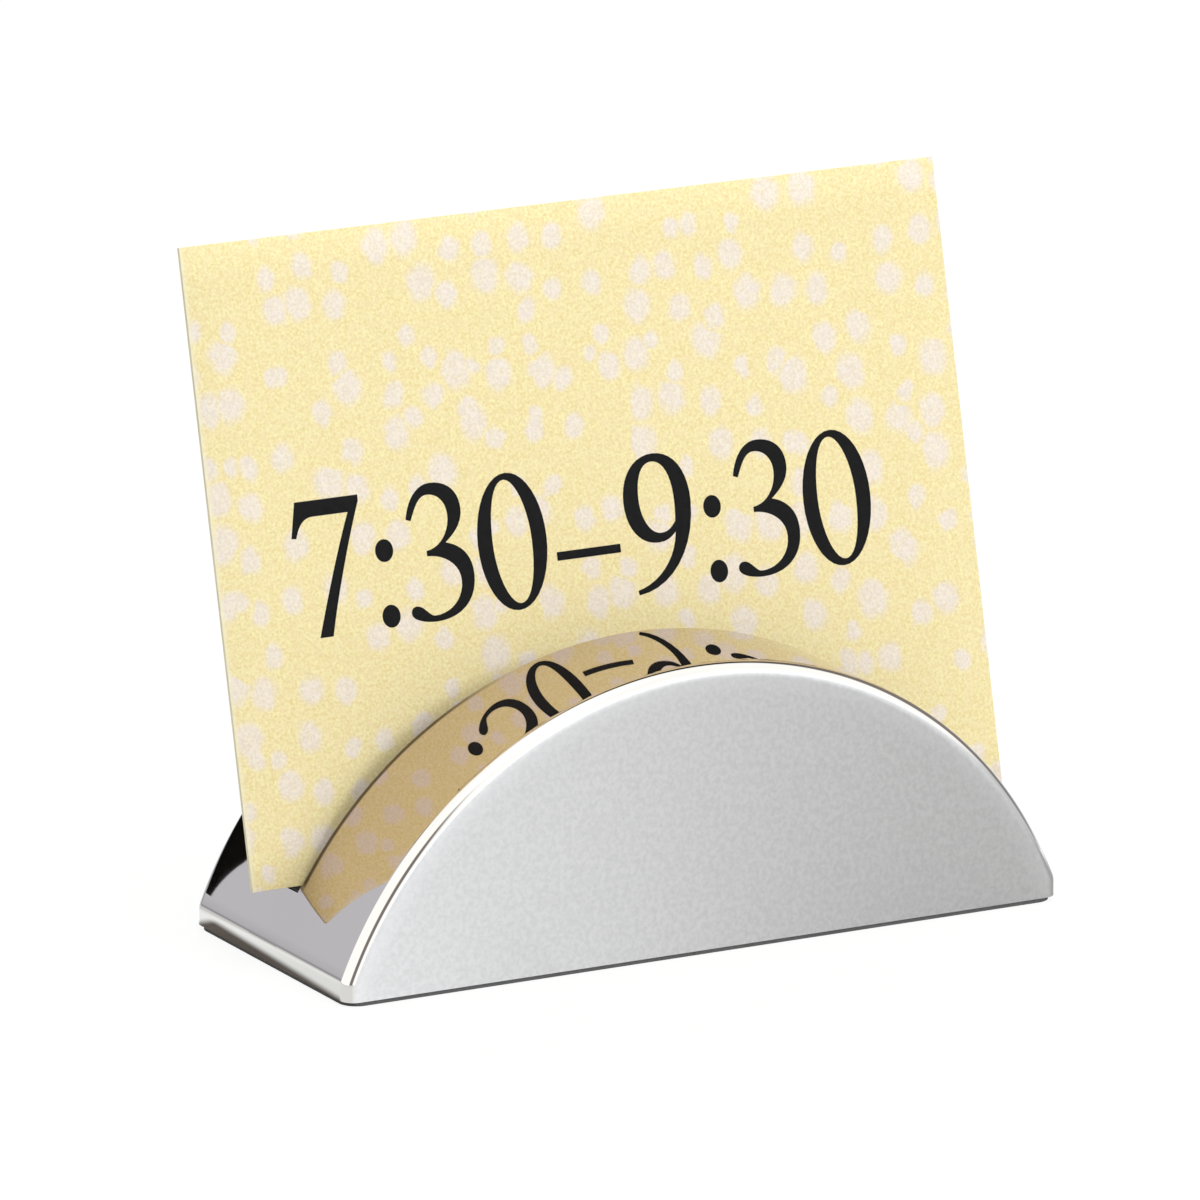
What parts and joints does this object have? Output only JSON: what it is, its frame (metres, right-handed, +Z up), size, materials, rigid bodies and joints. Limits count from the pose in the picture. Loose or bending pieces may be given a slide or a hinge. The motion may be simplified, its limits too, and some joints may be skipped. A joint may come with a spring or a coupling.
{
  "type": "place card holder",
  "caption": "Half-moon stainless steel table stand with a wide open slot that holds a leaning place card; the card lifts out.",
  "frame": {"origin": "middle of the foot print, on the table under the pad", "axes": "+X along the width, from the viewer's left to right; +Y from the front face to the back; +Z up"},
  "size_m": [0.0889, 0.0346, 0.0733],
  "materials": {
    "satin_steel": "satin faces, mirror-polished rolled edge and wall",
    "mirror_steel": "mirror polished",
    "plain_steel": "mill finish",
    "pad": "matte closed-cell foam",
    "card": "matte dotted card stock"
  },
  "bodies": {
    "holder": {"front_shell": "satin_steel", "back_shell": "satin_steel", "slot_front_wall": "mirror_steel", "slot_back_wall": "mirror_steel", "slot_saddle": "mirror_steel", "base_plate": "plain_steel", "base_pad": "pad"},
    "card": {"place_card": "card"}
  },
  "joints": [
    {"name": "card_lift", "type": "slide", "parent": "holder", "child": "card", "axis": [0, 0.2353, 0.9719], "range_m": [0, 0.026]}
  ]
}
